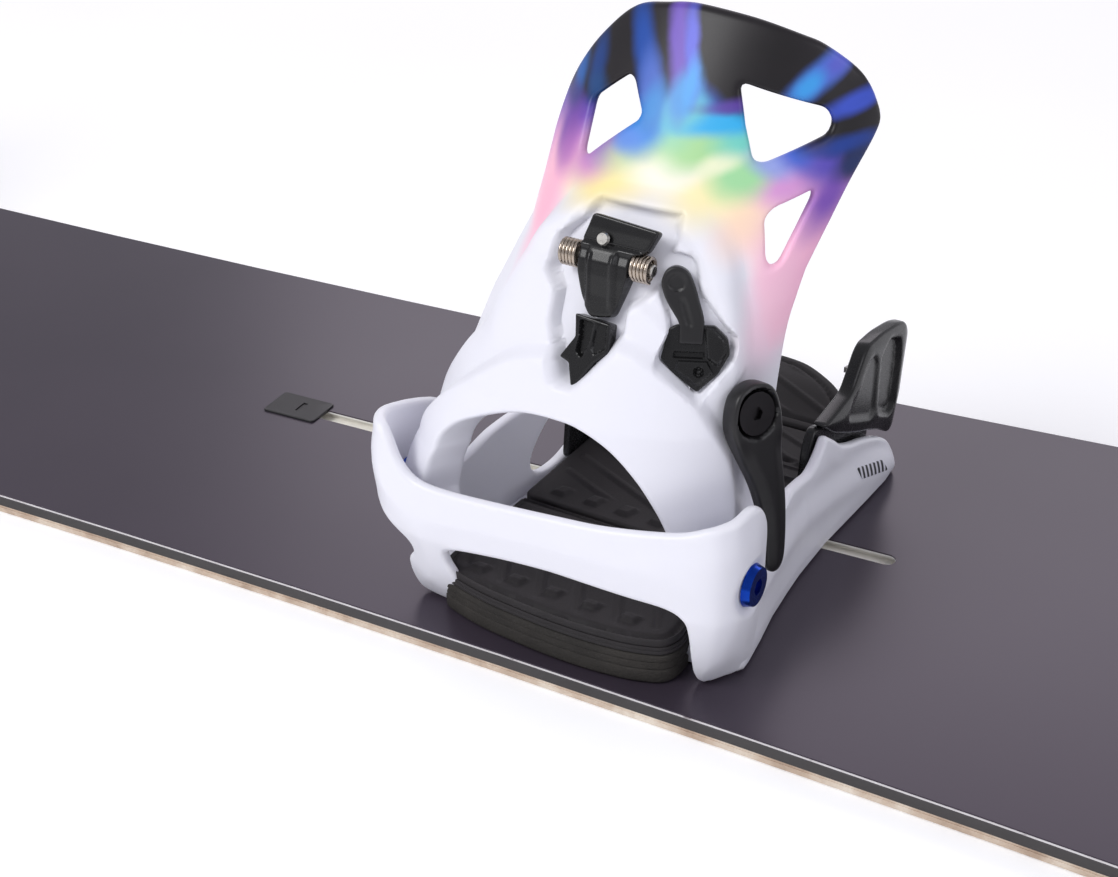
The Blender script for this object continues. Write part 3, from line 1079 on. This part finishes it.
# ------------------------------------------------------------------ CAD nodes that stay, with their materials
KEEP = {
    "base_sheet": "base", "steel_edge": "edge", "bottom_laminate": "edge", "wood_core": "core", "tip_spacers": "abs", "sidewalls": "abs",
    "top_laminate": "laminate", "topsheet": "topsheet", "channel_rails": "rail", "channel_plugs": "black",
    "mounting_disc": "black", "disc_bolts": "darksteel", "channel_nuts": "steel", "toe_hook_inserts": "steel", "hinge_bolts": "blue",
    "hinge_nuts": "steel", "release_lever_bolt": "darksteel", "release_cable": "black", "latch_rivet": "steel", "lean_pin": "darksteel"}
BEVEL = {"hinge_bolts": 0.0005, "release_lever_bolt": 0.0004, "channel_plugs": 0.0004,
         "disc_bolts": 0.0004, "mounting_disc": 0.0005, "latch_rivet": 0.0003, "hinge_nuts": 0.0003}
for name, o in NODES.items():
    short = name.split("_", 1)[1] if name.split("_", 1)[0] in ("left", "right") else name
    if short not in KEEP:
        continue
    o.data.materials.clear()
    o.data.materials.append(M[KEEP[short]])
    if short in BEVEL:
        b = o.modifiers.new("soft_edges", "BEVEL")
        b.width = BEVEL[short]
        b.segments = 2
        b.limit_method = "ANGLE"
        b.angle_limit = math.radians(35)
        b.harden_normals = False

# ------------------------------------------------------------------ stage, light, camera
bpy.ops.mesh.primitive_plane_add(size=14, location=(0, 0, -0.0004))
flo = bpy.context.object
flo.name = "floor"
fm, fnt, fp = mat_new("pale_floor")
fn = noise(fnt, 2, 2, 0.5)
fnt.links.new(ramp(fnt, fn, [(0.3, (0.90, 0.90, 0.91)), (0.7, (0.93, 0.93, 0.935))]), fp.inputs["Base Color"])
fp.inputs["Emission Color"].default_value = (1, 1, 1, 1)
fp.inputs["Emission Strength"].default_value = 0.16
fp.inputs["Roughness"].default_value = 0.9
fp.inputs["Specular IOR Level"].default_value = 0.1
flo.data.materials.append(fm)

sc = bpy.context.scene
wd = sc.world or bpy.data.worlds.new("studio")
sc.world = wd
wd.use_nodes = True
bg = wd.node_tree.nodes.get("Background") or wd.node_tree.nodes.new("ShaderNodeBackground")
bg.inputs[0].default_value = (0.93, 0.93, 1.0, 1)
bg.inputs[1].default_value = 0.52


def area(name, loc, target, size, power, col=(1, 1, 1)):
    l = bpy.data.lights.new(name, "AREA")
    l.shape = "RECTANGLE"
    l.size, l.size_y = size
    l.energy = power
    l.color = col
    o = bpy.data.objects.new(name, l)
    sc.collection.objects.link(o)
    o.location = loc
    o.rotation_euler = (Vector(target) - Vector(loc)).to_track_quat("-Z", "Y").to_euler()
    return o


area("key", (-0.55, -1.35, 1.55), (0.33, 0, 0.1), (0.9, 0.9), 24)
area("fill", (2.0, -0.3, 1.2), (0.33, 0, 0.1), (1.0, 1.2), 8.5, (0.94, 0.94, 1.0))
area("back", (-0.1, 2.2, 1.5), (0.33, 0, 0.1), (2.6, 1.0), 15, (1.0, 0.93, 1.0))

a, e = 0.4649, 0.5199
d = Vector((-math.sin(a) * math.cos(e), math.cos(a) * math.cos(e), -math.sin(e)))
cam = bpy.data.cameras.new("camera")
cam.sensor_fit = "HORIZONTAL"
cam.sensor_width = 36.0
cam.lens = 1841.5539 * 36.0 / 1118.0
cam.clip_start = 0.01
cam.clip_end = 50
co = bpy.data.objects.new("camera", cam)
sc.collection.objects.link(co)
co.location = (0.5738811, -0.6414302, 0.4383453)
co.rotation_euler = d.to_track_quat("-Z", "Y").to_euler()
sc.camera = co
sc.view_settings.view_transform = "Standard"
